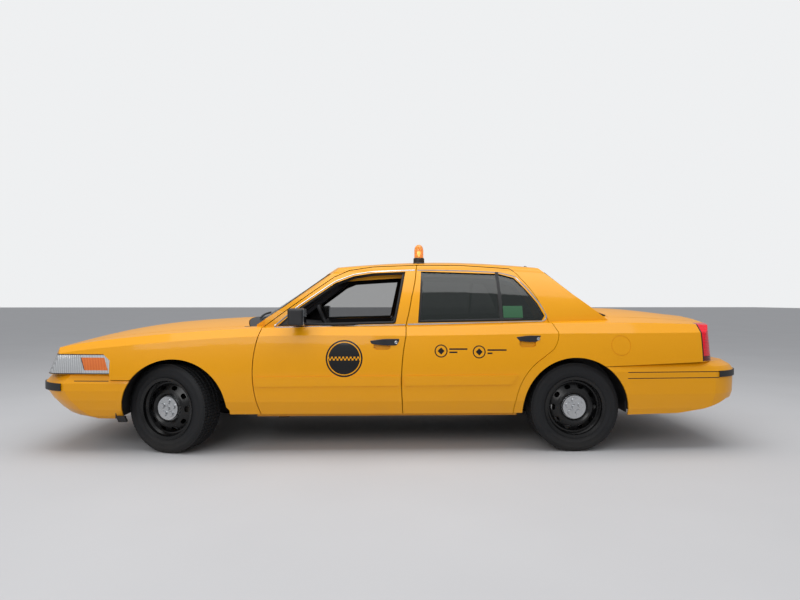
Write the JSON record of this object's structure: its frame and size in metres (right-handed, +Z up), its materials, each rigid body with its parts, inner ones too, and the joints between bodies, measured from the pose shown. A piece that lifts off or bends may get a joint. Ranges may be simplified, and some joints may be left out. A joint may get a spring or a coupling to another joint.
{
  "type": "taxi sedan, long-wheelbase, four-door",
  "caption": "Yellow four-door long-wheelbase taxi sedan with opening doors, hood and trunk lid, steered front wheels and free-rolling wheels.",
  "frame": {"origin": "on the ground, at the middle of the car's length and width", "axes": "+X towards the tail of the car, +Y towards its right-hand side, +Z up"},
  "size_m": [5.5378, 2.256, 1.626],
  "materials": {
    "paint_yellow": "yellow gloss enamel",
    "paint_dark": "black chassis paint",
    "paint_wheel": "black painted steel wheel",
    "plastic_black": "moulded black plastic",
    "rubber_black": "black rubber",
    "tyre_rubber": "tyre rubber",
    "glass_clear": "clear safety glass",
    "glass_tinted": "tinted safety glass",
    "lens_clear": "clear lamp lens",
    "lens_red": "red lamp lens",
    "lens_amber": "amber lamp lens",
    "vinyl_grey": "dark grey vinyl",
    "cast_dark": "bare castings",
    "steel_bare": "aluminised steel"
  },
  "bodies": {
    "car": {"body_side_left": "paint_yellow", "body_side_right": "paint_yellow", "roof_panel": "paint_yellow", "rear_deck": "paint_yellow", "fenders": "paint_yellow", "bumpers": "paint_yellow", "rub_strips": "plastic_black", "grille": "plastic_black", "cowl_panel": "plastic_black", "headlamps": "lens_clear", "tail_lamps": "lens_red", "roof_beacon": "lens_amber", "glass_fixed": "glass_clear", "dashboard": "plastic_black", "steering_wheel": "rubber_black", "front_seats": "vinyl_grey", "rear_seat": "vinyl_grey", "floor_pan": "paint_dark", "wheelhouses": "plastic_black", "chassis_frame": "paint_dark", "cross_members": "paint_dark", "powertrain": "cast_dark", "radiator": "paint_dark", "fuel_tank": "paint_dark", "exhaust": "steel_bare", "rear_axle": "cast_dark"},
    "hood": {"hood": "paint_yellow"},
    "trunk_lid": {"trunk_lid": "paint_yellow"},
    "door_front_left": {"door_front_left": "paint_yellow", "mirror_left": "plastic_black"},
    "door_front_right": {"door_front_right": "paint_yellow", "glass_front_right": "glass_clear", "mirror_right": "plastic_black"},
    "door_rear_left": {"door_rear_left": "paint_yellow", "glass_rear_left": "glass_tinted"},
    "door_rear_right": {"door_rear_right": "paint_yellow", "glass_rear_right": "glass_tinted"},
    "knuckle_left": {"knuckle_left": "cast_dark"},
    "knuckle_right": {"knuckle_right": "cast_dark"},
    "wheel_front_left": {"tyre_front_left": "tyre_rubber", "wheel_front_left": "paint_wheel"},
    "wheel_front_right": {"tyre_front_right": "tyre_rubber", "wheel_front_right": "paint_wheel"},
    "wheel_rear_left": {"tyre_rear_left": "tyre_rubber", "wheel_rear_left": "paint_wheel"},
    "wheel_rear_right": {"tyre_rear_right": "tyre_rubber", "wheel_rear_right": "paint_wheel"}
  },
  "joints": [
    {"name": "hood_hinge", "type": "hinge", "parent": "car", "child": "hood", "pos_m": [-1.112, 0, 1], "axis": [0, 1, 0], "range_deg": [0, 50]},
    {"name": "trunk_hinge", "type": "hinge", "parent": "car", "child": "trunk_lid", "pos_m": [1.724, 0, 1.08], "axis": [0, -1, 0], "range_deg": [0, 75]},
    {"name": "door_front_left_hinge", "type": "hinge", "parent": "car", "child": "door_front_left", "pos_m": [-1.034, -0.986, 0.6], "axis": [0, 0, -1], "range_deg": [0, 66]},
    {"name": "door_rear_left_hinge", "type": "hinge", "parent": "car", "child": "door_rear_left", "pos_m": [0.074, -0.986, 0.6], "axis": [0, 0, -1], "range_deg": [0, 66]},
    {"name": "door_front_right_hinge", "type": "hinge", "parent": "car", "child": "door_front_right", "pos_m": [-1.034, 0.986, 0.6], "axis": [0, 0, 1], "range_deg": [0, 66]},
    {"name": "door_rear_right_hinge", "type": "hinge", "parent": "car", "child": "door_rear_right", "pos_m": [0.074, 0.986, 0.6], "axis": [0, 0, 1], "range_deg": [0, 66]},
    {"name": "steer_left", "type": "hinge", "parent": "car", "child": "knuckle_left", "pos_m": [-1.682, -0.771, 0.338], "axis": [0, 0, 1], "range_deg": [-14, 52]},
    {"name": "steer_right", "type": "hinge", "parent": "car", "child": "knuckle_right", "pos_m": [-1.682, 0.771, 0.338], "axis": [0, 0, 1], "range_deg": [-14, 52]},
    {"name": "spin_front_left", "type": "hinge", "parent": "knuckle_left", "child": "wheel_front_left", "pos_m": [-1.69307, -0.80315, 0.338], "axis": [0.3256, 0.9455, 0], "continuous": true},
    {"name": "spin_front_right", "type": "hinge", "parent": "knuckle_right", "child": "wheel_front_right", "pos_m": [-1.67093, 0.80315, 0.338], "axis": [0.3256, 0.9455, 0], "continuous": true},
    {"name": "spin_rear_left", "type": "hinge", "parent": "car", "child": "wheel_rear_left", "pos_m": [1.378, -0.833, 0.338], "axis": [0, 1, 0], "continuous": true},
    {"name": "spin_rear_right", "type": "hinge", "parent": "car", "child": "wheel_rear_right", "pos_m": [1.378, 0.833, 0.338], "axis": [0, 1, 0], "continuous": true}
  ],
  "couplings": [
    {"joint": "steer_right", "follows": "steer_left", "ratio": 1}
  ]
}
